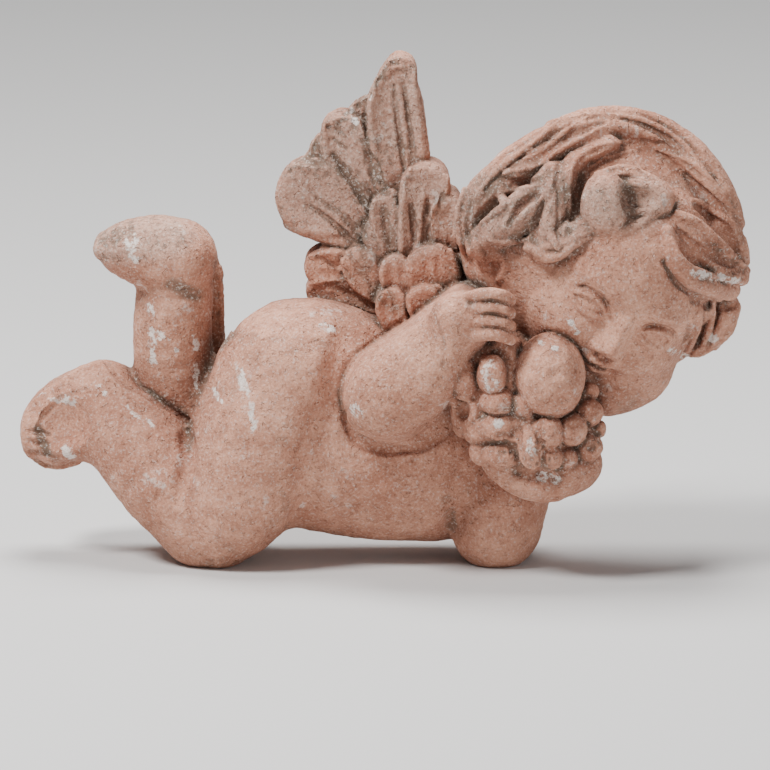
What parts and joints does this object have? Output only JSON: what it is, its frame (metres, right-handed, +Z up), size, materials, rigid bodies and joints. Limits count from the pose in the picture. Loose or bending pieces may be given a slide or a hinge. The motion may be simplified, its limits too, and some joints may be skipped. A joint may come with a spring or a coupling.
{
  "type": "cherub statue",
  "caption": "Reclining winged cherub resting its head on a bunch of fruit, one bisque terracotta casting with a flat back, standing on its knee and elbow.",
  "frame": {"origin": "middle of the bounding box on the floor plane, between the knee and the elbow it stands on", "axes": "+X along the body from the feet to the head, -Y towards the viewer's side, +Y out of the flat back, +Z up"},
  "size_m": [0.2996, 0.0934, 0.2096],
  "materials": {
    "terracotta": "unglazed, dusty matt, with pale lime residue"
  },
  "bodies": {
    "root": {"cherub": "terracotta"}
  },
  "joints": []
}
